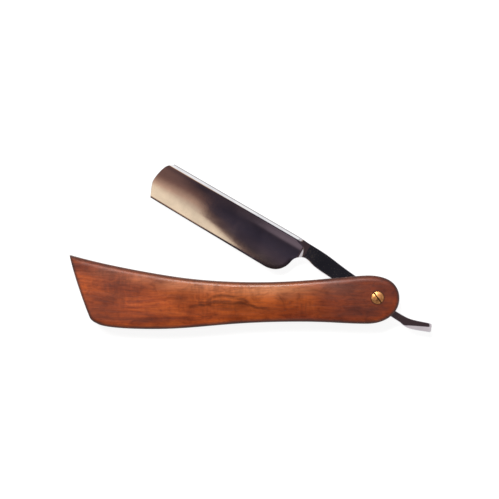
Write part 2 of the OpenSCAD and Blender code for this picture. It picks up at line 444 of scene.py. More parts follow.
NOSE_LOW = (120.9, -13.4)
NOSE_TOP = (118.6, 6.65)
HEEL = (56, -14.4)
TAIL_LOW = (-29.8, -2.3)
TAIL_TOP = (-28.6, 2.2)
EDGE_SIDE = [
    [TAIL_LOW, (-23, -4.8), (-20.6, -6.3), 26],
    [(-16, -4.95), 60],
    [(30, -2.8), (37.5, -2.3), (37, -1.1), 36],
    [(40, -1.1), (42.3, -1.1), (44.7, -3.2), 64],
    [(45.3, -5.6), (45.5, -6.3), (46.3, -14.4), 50],
    [HEEL, 120],
    [(112.9, -13.524), 20],
    [(119.9, -13.415), 8],
    [NOSE_LOW],
]
SPINE_SIDE = [
    [TAIL_TOP, (-20.2, -0.7), (-19.5, -1.1), 40],
    [(-14, -1.1), (-4.7, -1.1), (-9.7, 0.9), 60],
    [(0, 3.2), (28.1, 4.2), (25, 6.2), 160],
    [(41, 6.2), (44, 6.2), (46, 6.65), 24],
    [(50, 6.65), 300],
    [NOSE_TOP],
]
NOSE_END = [
    [NOSE_TOP, 8],
    [(120.3, 5.05), (122.8, 4.3), (123.95, -2.8), 40],
    [(123.95, -5.2), (123.95, -6.5), (123.5, -8), 20],
    [NOSE_LOW],
]
TAIL_END = [
    [TAIL_LOW, (-31.6, -1.6), (-31.4, -1.2), 16],
    [(-30.8, 0), (-30.2, 1.6), (-29.8, 2.6), 16],
    [TAIL_TOP],
]
# How far from each end its bulge is spread over the grid, and how fast it fades
NOSE_SPREAD, TAIL_SPREAD = 10.0, 7.0
BULGE_FADE = 1.5

# How stations along the edge side pair with stations along the spine side
PAIRS_EDGE = [-29.8, -16, 30, 38, 41, 42, 43.6, 45.3, 47.5, 56, 112.9, 119.9, 120.9]
PAIRS_SPINE = [-28.6, -14, 30, 39, 43, 44.8, 46.6, 48.6, 50.6, 58, 112, 117.9, 118.6]

# Fine steps in from the spine and from the edge side, and the number of steps between them
SPINE_STEPS = [
    0.0, 0.012, 0.035, 0.075, 0.13, 0.2, 0.29, 0.39, 0.5, 0.72, 1.0, 1.3, 1.52, 1.6, 1.68, 1.85, 2.2, 2.8,
]
EDGE_STEPS = [0.0, 0.03, 0.08, 0.15, 0.25, 0.38, 0.52, 0.66, 0.74, 0.95, 1.3]
BLADE_MIDDLE = 34

# Radius of the outline's rounding: stations and radii along each side, and one radius round each end
SPINE_ROUNDING = ([-28, 36, 46, 50], [0.3, 0.3, 0.12, 0.0])
EDGE_ROUNDING = ([-30, 40, 46, 54, 56, 118, 121], [0.3, 0.3, 0.16, 0.1, 0.0, 0.0, 0.1])
NOSE_ROUNDING, TAIL_ROUNDING = 0.12, 0.3
# The most that this rounding takes of half the thickness
ROUNDING_SHARE = 0.75
# Station past which the edge side is the honed line: the heel and the cutting edge
HONED_LINE_START = 45.4


def turned(p, q):
    """From the blade's a and b to the frame's x and y, or back: the same turn does both."""
    return (
        -p * math.cos(REST_ANGLE) + q * math.sin(REST_ANGLE),
        p * math.sin(REST_ANGLE) + q * math.cos(REST_ANGLE),
    )


def curve_at(curve, at, axis):
    """A curve's other coordinate at places along the axis given."""
    order = np.argsort(curve[:, axis])
    return np.interp(at, curve[order, axis], curve[order, 1 - axis])


def blade_grid():
    """Rows of points from the spine side of the blade to its edge side, from tail to nose."""
    low = bezier(EDGE_SIDE)
    at = np.interp(low[:, 0], PAIRS_EDGE, PAIRS_SPINE)
    spine = np.column_stack([at, curve_at(bezier(SPINE_SIDE), at, 0)])
    height = spine[:, 1] - low[:, 1]
    near = edge_shares(height, SPINE_STEPS, most=0.36)
    far = edge_shares(height, EDGE_STEPS, most=0.25)
    share = shares_across(near, far, BLADE_MIDDLE)
    grid = spine[:, None] * (1 - share) + low[:, None] * share
    # the two ends bulge out to their own curves
    for end, index, spread in ((NOSE_END, -1, NOSE_SPREAD), (TAIL_END, 0, TAIL_SPREAD)):
        chord = grid[index, :, 0].copy()
        bulge = curve_at(bezier(end), grid[index, :, 1], 1) - chord
        away = np.abs(grid[:, :, 0] - chord[None])
        grid[:, :, 0] += bulge[None] * np.clip(1 - away / spread, 0, 1) ** BULGE_FADE
    return grid


def spine_half_thickness(a, b):
    """Half the thickness before grinding: tail, tang, swell, and the spine's facets and ridge."""
    side = np.interp(a, [TAIL_STATION, TANG_STATION], [TAIL_TIP_HALF, TANG_HALF])
    side = side + (SPINE_HALF - TANG_HALF) * smooth(a, *SWELL)
    facet = np.clip(b - SPINE_LINE, 0, None) * FACET_SLOPE
    ridge = SPINE_HALF - np.sqrt(np.clip(RIDGE_R**2 - (b - SPINE_TOP + RIDGE_R) ** 2, 0, None))
    return side - smooth(a, *SECTION_RUN) * np.where(b < FACET_END, facet, ridge)


def wheel_height(a, b):
    """Height above the mid-plane that the grinding wheel leaves."""
    u = np.clip(a - GRIND_START, 0, WHEEL_CORNER)
    corner = np.sqrt(np.clip(WHEEL_CORNER**2 - (WHEEL_CORNER - u) ** 2, 0, None))
    wheel = WHEEL_R - WHEEL_CORNER + corner
    ground = WHEEL_MIN + WHEEL_R - np.sqrt(wheel**2 - (b - WHEEL_B) ** 2)
    return np.where(a > GRIND_START, ground, UNCUT)


def tail_flat_height(a, b):
    """Height above the mid-plane of the flat ground on the tail's tip."""
    start, direction = TAIL_FLAT_START, TAIL_FLAT_DIRECTION
    along = (a - start[0]) * direction[0] + (b - start[1]) * direction[1]
    return np.where(a < TAIL_FLAT_END, TANG_HALF - TAIL_FLAT_SLOPE * along, UNCUT)


def blade_half_thickness(a, b, rim, radii):
    """Half the blade's thickness at each point, with its grinds, bevel and rounded outline."""
    z = smooth_min(spine_half_thickness(a, b), wheel_height(a, b), soften=0.07)
    z = smooth_min(z, tail_flat_height(a, b), soften=0.05)
    run = unit(np.array(NOSE_LOW) - np.array(HEEL))
    from_edge = (b - HEEL[1]) * run[0] - (a - HEEL[0]) * run[1]
    bevel = np.maximum(HONED_HALF + BEVEL_RISE * from_edge / BEVEL_W, HONED_HALF)
    honed = (a > HONED_START) & (from_edge < BEVEL_W)
    z = np.where(honed, np.minimum(z, bevel), z)
    edge, piece, share = nearest_on(np.column_stack([a, b]), rim)
    radius = radii[piece] * (1 - share) + np.roll(radii, -1)[piece] * share
    radius = np.maximum(np.minimum(radius, ROUNDING_SHARE * z), 1e-4)
    inside = np.clip(1 - edge / radius, 0, 1)
    return np.maximum(z - radius * (1 - np.sqrt(1 - inside**2)), THINNEST)


def blade_mesh():
    """The whole blade, from its curved tail to its nose, turned to its place at rest."""
    grid = blade_grid()
    rim = np.concatenate([grid[:, 0], grid[-1, 1:-1], grid[::-1, -1], grid[0, -2:0:-1]])
    end_points = grid.shape[1] - 2
    radii = np.concatenate([
        np.interp(grid[:, 0, 0], *SPINE_ROUNDING),
        np.full(end_points, NOSE_ROUNDING),
        np.interp(grid[::-1, -1, 0], *EDGE_ROUNDING),
        np.full(end_points, TAIL_ROUNDING),
    ])
    a, b = grid[..., 0].ravel(), grid[..., 1].ravel()
    half = blade_half_thickness(a, b, rim, radii)
    sheets = [
        np.column_stack([*turned(a, b), MID_PLANE + side * half]).reshape(*grid.shape[:2], 3)
        for side in (1, -1)
    ]
    obj = new_object("blade_ground", *two_sheets(*sheets), merge=0.012)
    cut(obj, bore_cutter())
    shade_smooth(obj, 24.0)
    # the honed line is closed by running it back the same way
    cutting = grid[grid[:, -1, 0] > HONED_LINE_START, -1]
    places = vertex_places(obj)
    line = np.concatenate([cutting, cutting[::-1]])
    store_edge_distance(obj, np.column_stack(turned(places[:, 0], places[:, 1])), line)
    return obj


# ---- pivot ----

HEAD_TOP = 12.0
HEAD_R = 3.05
DOME_R = 7.1
DOME_STEPS = 26
# The screw's shank, with a chamfered end, and the flat under its head, as (radius, height)
SHANK = [(0.0, 4.1), (1.0, 4.1), (1.2, 4.35), (1.2, 10.6), (2.95, 10.6), (HEAD_R, 10.7)]
# The head's rim: how far the dome stops short of it, and the chamfer as (inset, drop) from there
DOME_INSET = 0.08
RIM_CHAMFER = [(0.0, 0.09), (0.025, 0.025)]
SCREW_SLOT_TURN = math.radians(-53.5)
# The nut and its sleeve, as a turned profile of (radius, height)
BARREL_PROFILE = [
    (0.0, 0.1), (3.1, 0.1), (3.28, 0.11), (3.42, 0.18), (3.5, 0.32), (3.5, 0.92), (3.4, 1.0),
    (2.0, 1.0), (2.0, 9.9), (1.9, 10.0), (1.35, 10.0), (1.25, 9.9), (1.25, 3.0), (0.0, 3.0),
]


def dome_height(turn):
    """Height of the screw head's dome where its surface has leaned by this angle."""
    return HEAD_TOP - DOME_R * (1 - math.cos(turn))


def screw_mesh():
    """Domed screw head with a chamfered rim, a slot with eased edges, and its shank."""
    last_turn = math.asin((HEAD_R - DOME_INSET) / DOME_R)
    rim = dome_height(last_turn)
    chamfer = [(HEAD_R - inset, rim - drop) for inset, drop in RIM_CHAMFER]
    turns = np.linspace(last_turn, 0, DOME_STEPS)
    dome = [(DOME_R * math.sin(turn), dome_height(turn)) for turn in turns]
    obj = lathe("pivot_screw_turned", SHANK + chamfer + dome)
    cut(obj, slot_cutter(2.0, HEAD_TOP, SCREW_SLOT_TURN))
    shade_smooth(obj)
    return obj


def barrel_mesh():
    """Flat slotted nut in the back scale with the sleeve that the tang turns on."""
    obj = lathe("pivot_barrel_turned", BARREL_PROFILE)
    cut(obj, slot_cutter(1.2, 0.0))
    shade_smooth(obj)
    return obj


front_scale = scale_mesh("front_scale_shaped", FRONT_INNER, 1, HEAD_SEAT)
back_scale = scale_mesh("back_scale_shaped", BACK_INNER, -1, NUT_SEAT)
wedge = wedge_mesh()
blade = blade_mesh()
screw = screw_mesh()
barrel = barrel_mesh()

# ---- shader graphs ----

# Noise pitches below are in cycles per millimetre, and bump distances are in metres


def linear(red, green, blue):
    """A colour given as 0 to 255 display values, as the shader's linear values."""
    out = []
    for value in (red, green, blue):
        v = value / 255
        out.append(v / 12.92 if v <= 0.04045 else ((v + 0.055) / 1.055) ** 2.4)
    return (*out, 1.0)


class Graph:
    """Short calls for building one node tree. Colours are given as 0 to 255 display values."""

    def __init__(self, tree):
        self.tree = tree
        tree.nodes.clear()

    def add(self, kind, inputs=None, **settings):
        node = self.tree.nodes.new(kind)
        for name, value in settings.items():
            setattr(node, name, value)
        for key, value in (inputs or {}).items():
            self.put(node.inputs[key], value)
        return node

    def put(self, socket, value):
        if isinstance(value, bpy.types.NodeSocket):
            self.tree.links.new(value, socket)
        else:
            socket.default_value = value

    def math(self, operation, a, b=0.0):
        return self.add("ShaderNodeMath", {0: a, 1: b}, operation=operation).outputs[0]

    def plus(self, a, b):
        return self.math("ADD", a, b)

    def minus(self, a, b):
        return self.math("SUBTRACT", a, b)

    def most(self, a, b):
        return self.math("MAXIMUM", a, b)

    def times(self, first, *others):
        for other in others:
            first = self.math("MULTIPLY", first, other)
        return first

    def vector(self, operation, a, b=(0.0, 0.0, 0.0)):
        node = self.add("ShaderNodeVectorMath", {0: a, 1: b}, operation=operation)
        return node.outputs[1] if operation in ("DOT_PRODUCT", "LENGTH") else node.outputs[0]

    def split(self, vector):
        return self.add("ShaderNodeSeparateXYZ", {0: vector}).outputs

    def join(self, x, y, z=0.0):
        return self.add("ShaderNodeCombineXYZ", {0: x, 1: y, 2: z}).outputs[0]

    def step(self, value, low, high, to_low=0.0, to_high=1.0, kind="SMOOTHSTEP"):
        """From to_low where the value is low to to_high where it is high, and level beyond."""
        node = self.add(
            "ShaderNodeMapRange",
            {"Value": value, "From Min": low, "From Max": high, "To Min": to_low, "To Max": to_high},
            interpolation_type=kind,
        )
        return node.outputs["Result"]

    def line(self, value, low, high, to_low=0.0, to_high=1.0):
        """A step with a straight run between."""
        return self.step(value, low, high, to_low, to_high, "LINEAR")

    def mix(self, share, a, b, blend="MIX"):
        node = self.add("ShaderNodeMix", data_type="RGBA", blend_type=blend, clamp_factor=True)
        self.put(node.inputs[0], share)
        self.put(node.inputs[6], a)
        self.put(node.inputs[7], b)
        return node.outputs[2]

    def paint(self, under, share, colour):
        """One colour laid over another."""
        return self.mix(share, under, linear(*colour))

    def shade(self, under, value):
        """A colour made lighter or darker by a value."""
        grey = self.add("ShaderNodeCombineColor", {0: value, 1: value, 2: value}).outputs[0]
        return self.mix(1.0, under, grey, "MULTIPLY")

    def ramp(self, value, stops):
        node = self.add("ShaderNodeValToRGB", {"Fac": value})
        elements = node.color_ramp.elements
        while len(elements) < len(stops):
            elements.new(0.5)
        for element, (place, colour) in zip(elements, stops):
            element.position = place
            element.color = linear(*colour)
        return node.outputs["Color"]

    def noise(self, vector, scale=1.0, detail=2.0, roughness=0.5, distortion=0.0):
        inputs = {"Vector": vector, "Scale": scale, "Detail": detail, "Roughness": roughness}
        inputs["Distortion"] = distortion
        return self.add("ShaderNodeTexNoise", inputs).outputs["Fac"]

    def stretched(self, vector, pitch, detail=2.0, roughness=0.5, distortion=0.0):
        """Noise with its own pitch along each axis, in cycles for each unit of the vector."""
        return self.noise(self.vector("MULTIPLY", vector, pitch), 1.0, detail, roughness, distortion)

    def spot(self, vector, centre, reach):
        """A soft round or oval spot in the XY plane: 1 at its centre, fading out past its reach."""
        away = self.vector("SUBTRACT", vector, (*centre, 0.0))
        away = self.vector("MULTIPLY", away, (1 / reach[0], 1 / reach[1], 0.0))
        return self.math("EXPONENT", self.times(self.vector("DOT_PRODUCT", away, away), -1.0))

    def bump(self, height, strength, distance, normal=None):
        inputs = {"Height": height, "Strength": strength, "Distance": distance}
        if normal is not None:
            inputs["Normal"] = normal
        return self.add("ShaderNodeBump", inputs).outputs["Normal"]


def new_material(name):
    """A material with its graph, its shader and the object's own coordinates in millimetres."""
    material = bpy.data.materials.new(name)
    material.use_nodes = True
    graph = Graph(material.node_tree)
    shader = graph.add("ShaderNodeBsdfPrincipled")
    output = graph.add("ShaderNodeOutputMaterial")
    graph.put(output.inputs[0], shader.outputs[0])
    place = graph.vector("SCALE", graph.add("ShaderNodeTexCoord").outputs["Object"])
    place.node.inputs["Scale"].default_value = 1 / MM
    return material, graph, shader, place


def edge_distance(g):
    """The distance in millimetres that store_edge_distance keeps."""
    return g.add("ShaderNodeAttribute", attribute_name="edge_mm").outputs["Fac"]


# ---- wood ----

WOOD_BAND = [
    (0.26, (112, 44, 17)), (0.42, (142, 59, 22)), (0.52, (160, 69, 25)),
    (0.62, (175, 81, 30)), (0.76, (134, 55, 22)),
]
WOOD_FINE = [(0.3, (150, 132, 122)), (0.5, (238, 236, 232)), (0.72, (255, 255, 250))]
WOOD_CLOUD = [(0.3, (180, 166, 154)), (0.5, (236, 235, 232)), (0.66, (255, 255, 255))]
WOOD_MOTTLE = [(0.34, (206, 196, 188)), (0.5, (242, 242, 240)), (0.64, (255, 255, 255))]
STREAK_COLOUR = (72, 28, 12)
PORE_COLOUR = (58, 24, 16)
SHADE_AND_GRIME_COLOUR = (62, 24, 10)

# Places of colour in the wood, some of them painted highlight and shade, laid one over another: centre,
# reach, colour, strength
WOOD_TINTS = [
    # broad tints, from the butt to the pivot
    ((-143, 6), (7, 5), (180, 78, 4), 0.62),
    ((-138, -7), (14, 6), (112, 42, 4), 0.56),
    ((-120, 4), (16, 5), (152, 62, 12), 0.35),
    ((-100, 4), (12, 4), (170, 84, 32), 0.4),
    ((-66, 0), (24, 8), (196, 100, 40), 0.62),
    ((-36, -7), (22, 4.5), (112, 42, 12), 0.6),
    ((-12, -1), (14, 13), (92, 30, 8), 0.72),
    ((6, 4), (8, 9), (94, 31, 10), 0.75),
    ((6, -6), (6, 4), (134, 52, 6), 0.5),
    # painted highlight: paler wood under the upper edge, from the waist to the butt, where the lamp
    # catches the rounding
    ((-52, 4.2), (20, 3.2), (222, 150, 108), 0.68),
    ((-84, 5.8), (12, 2.8), (214, 142, 104), 0.55),
    ((-100, 7.2), (9, 2.8), (206, 134, 98), 0.55),
    ((-115, 9.6), (9, 2.8), (190, 118, 84), 0.5),
    ((-130, 12.6), (9, 2.8), (178, 104, 72), 0.45),
    # dark and pale blotches
    ((-131, -0.5), (6, 4.5), (122, 46, 14), 0.42),
    ((-97, -0.5), (3, 4), (118, 46, 16), 0.35),
    ((-45.5, -0.5), (3.4, 3.2), (104, 40, 14), 0.58),
    ((-38.5, 0.5), (1.8, 2.6), (112, 46, 18), 0.5),
    ((-35, -5), (2.6, 1.6), (108, 44, 18), 0.45),
    ((-33, -1.8), (3.4, 3), (178, 86, 32), 0.42),
    ((-24, -1), (3.6, 4), (98, 40, 24), 0.42),
    # painted shade along the lower edge at the waist
    ((-37, -10.4), (13, 1.7), (92, 44, 38), 0.5),
    # a pale blotch
    ((-44, 0.8), (5, 1.6), (176, 104, 74), 0.35),
    # painted sheen under the upper edge near the pivot
    ((-21, 6.2), (9, 3.6), (142, 94, 84), 0.5),
]

# Dark streaks: points of the line, half width, strength
WOOD_STREAKS = [
    ([(-96, -6.2), (-93, -5), (-88, -3.5), (-82.9, -2.9), (-71.6, -2.4), (-62.8, -3.4),
      (-55, -5.1), (-50, -7)], 0.54, 0.7),
    ([(-86, -2.2), (-82.4, -0.7), (-77.9, 0.2), (-73.1, 0.8), (-67.2, -0.7), (-60, -3.2)], 0.58, 0.74),
    ([(-51, 3), (-47, -0.6), (-44.5, -4.5), (-42, -8)], 0.5, 0.6),
]
# A streak fades over this length at each end, and its curve node spans this much of y
STREAK_FADE = 7
STREAK_SPAN = 40.0

# Places where bars of figure cross the grain: centre, reach
WOOD_BARS = [((-36.5, -3), (4, 4)), ((-96, 0.5), (5, 5))]


def streak(g, x, y, waver, line, half):
    """How much of a dark streak shows: it follows a wavering curve and fades at both ends."""
    low, high = line[0][0], line[-1][0]
    curve = g.add("ShaderNodeFloatCurve", {"Value": g.line(x, low, high)})
    points = curve.mapping.curves[0].points
    while len(points) < len(line):
        points.new(0.5, 0.5)
    for point, (px, py) in zip(points, line):
        point.location = ((px - low) / (high - low), 0.5 + py / STREAK_SPAN)
    curve.mapping.update()
    middle = g.times(g.minus(curve.outputs[0], 0.5), STREAK_SPAN)
    gap = g.math("ABSOLUTE", g.plus(g.minus(y, middle), waver))
    inside = g.step(gap, half * 0.3, half * 2.2, 1.0, 0.0)
    ends = g.times(g.step(x, low, low + STREAK_FADE), g.step(x, high - STREAK_FADE, high, 1.0, 0.0))
    return g.times(inside, ends)


def with_streaks(g, colour, x, y, place, fine):
    """The wood's colour with its dark streaks, which waver and break with the grain."""
    waver = g.times(g.minus(fine, 0.5), 2.4)
    ripple = g.stretched(place, (0.16, 0.02, 0.02))
    waver = g.plus(waver, g.times(g.minus(ripple, 0.5), 3.0))
    broken = g.step(g.stretched(place, (0.12, 0.3, 0.1)), 0.36, 0.6, 0.5, 1.0)
    for line, half, strength in WOOD_STREAKS:
        reach = g.times(streak(g, x, y, waver, line, half), g.times(broken, strength))
        colour = g.paint(colour, reach, STREAK_COLOUR)
    return colour


def bars_of_figure(g, place):
    """Lighter and darker bars across the grain, as a gain on the colour."""
    bars = g.stretched(place, (0.8, 0.16, 0.1), 2.0, 0.5, 0.5)
    bars = g.step(bars, 0.32, 0.68, -1.0, 1.0)
    where = g.step(g.stretched(place, (0.03, 0.05, 0.05)), 0.45, 0.65)
    gain = g.times(bars, where, 0.12)
    for centre, reach in WOOD_BARS:
        dark = g.step(bars, -0.5, 0.8, 0.0, 0.26)
        gain = g.minus(gain, g.times(g.spot(place, centre, reach), dark))
    return g.plus(1.0, gain)


def wood_material(name, tone=1.0, streaks=True, edge_shade=True):
    """Oiled reddish wood with wavy bands along the length, pores, figure and painted shade on its edges.
    """
    material, g, shader, place = new_material(name)
    x, y, z = g.split(place)
    # the grain sweeps up towards the butt and wavers along the length
    sweep = g.math("POWER", g.line(x, -90.0, -150.0), 1.6)
    wave = g.times(g.minus(g.stretched(place, (0.022, 0.07, 0.05)), 0.5), 8.0)
    grain = g.join(x, g.plus(g.minus(y, g.times(sweep, 2.0)), wave), z)
    colour = g.ramp(g.stretched(grain, (0.042, 0.3, 0.2), 4.0, 0.6), WOOD_BAND)
    for centre, reach, tint, strength in WOOD_TINTS:
        colour = g.paint(colour, g.times(g.spot(place, centre, reach), strength), tint)
    fine = g.stretched(grain, (0.09, 1.5, 1.1), 4.0, 0.6)
    colour = g.mix(0.46, colour, g.ramp(fine, WOOD_FINE), "MULTIPLY")
    if streaks:
        colour = with_streaks(g, colour, x, y, place, fine)
    # cloudy light and dark patches, longer than they are wide, and smaller mottling
    cloud = g.stretched(place, (0.05, 0.11, 0.1), 3.0, 0.55)
    colour = g.mix(0.9, colour, g.ramp(cloud, WOOD_CLOUD), "MULTIPLY")
    mottle = g.stretched(place, (0.2, 0.34, 0.2), 3.0, 0.6, 0.8)
    colour = g.mix(0.8, colour, g.ramp(mottle, WOOD_MOTTLE), "MULTIPLY")
    colour = g.shade(colour, bars_of_figure(g, place))
    # short pores, and painted shade in a ring round the screw head, with some grime
    pore = g.step(g.stretched(grain, (0.34, 5.2, 5.2)), 0.66, 0.74)
    colour = g.paint(colour, g.times(pore, 0.55), PORE_COLOUR)
    from_screw = g.vector("LENGTH", g.vector("MULTIPLY", place, (1.0, 1.0, 0.0)))
    colour = g.paint(colour, g.step(from_screw, 3.9, 3.15, 0.0, 0.7), SHADE_AND_GRIME_COLOUR)
    # painted shade: the wood is darkened over its rounded edges, standing in for the shade that falls
    # there
    if edge_shade:
        colour = g.shade(colour, g.step(edge_distance(g), 0.45, 1.95, 0.3, 1.0))
    if tone != 1.0:
        colour = g.mix(1.0, colour, (tone, tone, tone, 1.0), "MULTIPLY")
    g.put(shader.inputs["Base Color"], colour)
    # duller in the pores, at the butt and round the pivot, glossier at the waist
    rough = g.plus(g.step(fine, 0.3, 0.7, 0.34, 0.27), g.times(pore, 0.2))
    rough = g.plus(rough, g.step(x, -88.0, -132.0, 0.0, 0.17))
    rough = g.plus(rough, g.step(x, -34.0, -12.0, 0.0, 0.16))
    waist = g.times(g.step(x, -84.0, -64.0, 0.0, 0.05), g.step(x, -30.0, -44.0))
    g.put(shader.inputs["Roughness"], g.minus(rough, waist))
    shader.inputs["IOR"].default_value = 1.48
    shader.inputs["Specular IOR Level"].default_value = 0.32
    shader.inputs["Coat Weight"].default_value = 0.1
    shader.inputs["Coat Roughness"].default_value = 0.3
    fibre = g.stretched(grain, (0.4, 9.0, 9.0), 3.0, 0.6)
    swell = g.stretched(grain, (0.06, 0.35, 0.3))
    normal = g.bump(swell, 0.35, 0.0004)
    normal = g.bump(fine, 0.25, 0.00012, normal)
    normal = g.bump(g.minus(fibre, pore), 0.22, 0.00005, normal)
    g.put(shader.inputs["Normal"], normal)
    return material


# ---- steel ----

STEEL_HAZE = [(0.3, (196, 196, 201)), (0.6, (222, 221, 224)), (0.8, (214, 211, 210))]
RIDGE_SHADE_COLOUR = (150, 147, 149)
HONED_SHADE_COLOUR = (66, 62, 66)
HEEL_SHADE_COLOUR = (84, 78, 80)

# The blade's own directions in the frame: towards the nose and towards the spine
A_DIR = (-math.cos(REST_ANGLE), math.sin(REST_ANGLE), 0.0)
B_DIR = (math.sin(REST_ANGLE), math.cos(REST_ANGLE), 0.0)


def steel_material():
    """Polished steel with grinding lines across the blade, fine scratches, faint haze and painted shade
    at the ridge, honed line and heel.
    """
    material, g, shader, place = new_material("polished_blade_steel")
    along = g.vector("DOT_PRODUCT", place, A_DIR)
    side = g.vector("DOT_PRODUCT", place, B_DIR)
    on_blade = g.join(along, side, g.split(place)[2])
    lines = g.stretched(on_blade, (7.0, 0.12, 0.5), 3.0, 0.6)
    haze = g.stretched(place, (0.08, 0.08, 0.08), 4.0, 0.55)
    scratch = g.step(g.stretched(on_blade, (0.3, 9.0, 9.0)), 0.68, 0.8)
    colour = g.ramp(haze, STEEL_HAZE)
    # the ridge of the spine is left with a duller, ground finish, and painted darker as a painted
    # reflection of the shaded floor beside the blade
    ridge = g.times(g.step(side, 6.05, 6.25), g.step(along, 45.5, 48.0))
    colour = g.paint(colour, ridge, RIDGE_SHADE_COLOUR)
    # painted shade: the honed line is painted darker than the polished faces, for the dark it reflects,
    # and widens to a painted dark rim at the heel
    edge = edge_distance(g)
    honed = g.step(edge, 0.5, 0.36)
    colour = g.paint(colour, g.times(honed, 0.9), HONED_SHADE_COLOUR)
    heel = g.times(g.step(edge, 2.6, 0.6), g.step(along, 66.0, 52.0))
    colour = g.paint(colour, g.times(heel, 0.7), HEEL_SHADE_COLOUR)
    g.put(shader.inputs["Base Color"], colour)
    shader.inputs["Metallic"].default_value = 1.0
    rough = g.plus(g.step(haze, 0.3, 0.75, 0.03, 0.055), g.times(scratch, 0.02))
    rough = g.plus(rough, g.step(lines, 0.35, 0.7, 0.0, 0.012))
    g.put(shader.inputs["Roughness"], g.plus(rough, g.times(g.most(ridge, honed), 0.22)))
    normal = g.bump(lines, 0.03, 0.00002)
    g.put(shader.inputs["Normal"], g.bump(scratch, 0.008, 0.00001, normal))
    return material


# ---- brass and dowel wood ----

BRASS_HAZE = [(0.25, (146, 94, 52)), (0.5, (188, 134, 84)), (0.75, (208, 158, 108))]
SLOT_SHADE_COLOUR = (58, 36, 18)
TARNISH_COLOUR = (120, 74, 34)
DOWEL_RINGS = [(0.3, (172, 124, 78)), (0.6, (206, 164, 112))]
DOWEL_FIBRES = [(0.3, (170, 140, 110)), (0.7, (255, 250, 240))]


def brass_material(name, slot_face=None):
    """Worn satin brass with turning marks, soft tarnish, small scratches and painted shade in a slot.

    A slotted face is given by its height on the axis, its fall with the radius squared, and
    1 or -1 for a face that looks up or down.
    """
    material, g, shader, place = new_material(name)
    radius = g.vector("LENGTH", g.vector("MULTIPLY", place, (1.0, 1.0, 0.0)))
    haze = g.noise(place, 0.7, 4.0, 0.6)
    marks = g.noise(g.join(g.times(radius, 9.0), haze), 1.0, 2.0, 0.6)
    scratch = g.step(g.stretched(place, (9.0, 0.9, 3.0)), 0.64, 0.76)
    colour = g.ramp(haze, BRASS_HAZE)
    if slot_face:
        # painted shade down in the slot, and tarnish at the rim
        crest, fall, facing = slot_face
        surface = g.minus(crest, g.times(radius, radius, fall))
        depth = g.times(g.minus(surface, g.split(place)[2]), facing)
        slot_shade = g.times(g.step(depth, 0.06, 0.35), g.step(radius, 3.3, 3.1))
        colour = g.paint(colour, g.times(slot_shade, 0.9), SLOT_SHADE_COLOUR)
        colour = g.paint(colour, g.times(g.step(radius, 2.7, 3.05), 0.45), TARNISH_COLOUR)
    g.put(shader.inputs["Base Color"], colour)
    shader.inputs["Metallic"].default_value = 1.0
    rough = g.plus(g.step(haze, 0.3, 0.7, 0.36, 0.48), g.times(scratch, 0.15))
    g.put(shader.inputs["Roughness"], rough)
    normal = g.bump(marks, 0.25, 0.00003)
    g.put(shader.inputs["Normal"], g.bump(scratch, 0.2, 0.00001, normal))
    return material


def dowel_material():
    """Pale dowel wood with straight fibres along the pin."""
    material, g, shader, place = new_material("dowel_pale_wood")
    fibre = g.stretched(place, (6.0, 6.0, 0.3), 4.0, 0.6)
    rings = g.stretched(place, (1.6, 1.6, 0.05))
    colour = g.mix(0.5, g.ramp(rings, DOWEL_RINGS), g.ramp(fibre, DOWEL_FIBRES), "MULTIPLY")
    g.put(shader.inputs["Base Color"], colour)
    g.put(shader.inputs["Roughness"], g.step(fibre, 0.3, 0.7, 0.6, 0.75))
    g.put(shader.inputs["Normal"], g.bump(fibre, 0.3, 0.00005))
    return material


# ---- pieces ----


def set_material(obj, material):
    obj.data.materials.clear()
    obj.data.materials.append(material)


def finish_piece(obj, material, body, node):
    """Gives a piece its material, hangs it on its body's empty and hides the CAD node it takes the place
    of.
    """
    set_material(obj, material)
    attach(obj, body)
    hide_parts(node)


NUT_FACE = 0.1
scale_wood = wood_material("oiled_red_wood")
wedge_wood = wood_material("wedge_red_wood", tone=0.72, streaks=False, edge_shade=False)
blade_steel = steel_material()
screw_brass = brass_material("turned_screw_brass", (HEAD_TOP, 1 / (2 * DOME_R), 1.0))
nut_brass = brass_material("turned_nut_brass", (NUT_FACE, 0.0, -1.0))
washer_brass = brass_material("washer_sheet_brass")
dowel_wood = dowel_material()

finish_piece(front_scale, scale_wood, "handle", "front_scale")
finish_piece(back_scale, scale_wood, "handle", "back_scale")
finish_piece(wedge, wedge_wood, "handle", "wedge")
finish_piece(blade, blade_steel, "blade", "blade")
finish_piece(screw, screw_brass, "handle", "pivot_screw")
finish_piece(barrel, nut_brass, "handle", "pivot_barrel")

set_material(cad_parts["front_washer"], washer_brass)
set_material(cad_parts["back_washer"], washer_brass)
set_material(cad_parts["wedge_dowels"], dowel_wood)

# ---- camera, floor and lamp ----

scene = bpy.context.scene
scene.view_settings.view_transform = "Standard"

# The camera looks straight down at this place, and sees this far to each side of it
VIEW_CENTRE = Vector((-62.57, 23.57, 8.0))
VIEW_DISTANCE = 1000.0
VIEW_HALF_WIDTH = 122.26

# The floor, in metres, lies just under the razor, and glows so that it stays pale
FLOOR_SIZE = 12.0
FLOOR_LEVEL = -0.00005
FLOOR_GREY = 0.23
FLOOR_GLOW = 0.875

# The lamp, in metres: a wide strip, leaning from straight above towards the blade's side
KEY_SIZE = (1.0, 0.32)
KEY_DISTANCE = 1.5
KEY_LEAN = math.radians(31)
KEY_DIRECTION = Vector((-0.26, math.sin(KEY_LEAN), math.cos(KEY_LEAN)))


def add_camera():
    """A long lens straight above the razor."""
    data = bpy.data.cameras.new("camera")
    data.sensor_width = 36.0
    data.lens = data.sensor_width / 2 * VIEW_DISTANCE / VIEW_HALF_WIDTH
    data.clip_start = 0.01
    data.clip_end = 100.0
    camera = bpy.data.objects.new("camera", data)
    camera.location = (VIEW_CENTRE + Vector((0, 0, VIEW_DISTANCE))) * MM
    scene.collection.objects.link(camera)
    scene.camera = camera


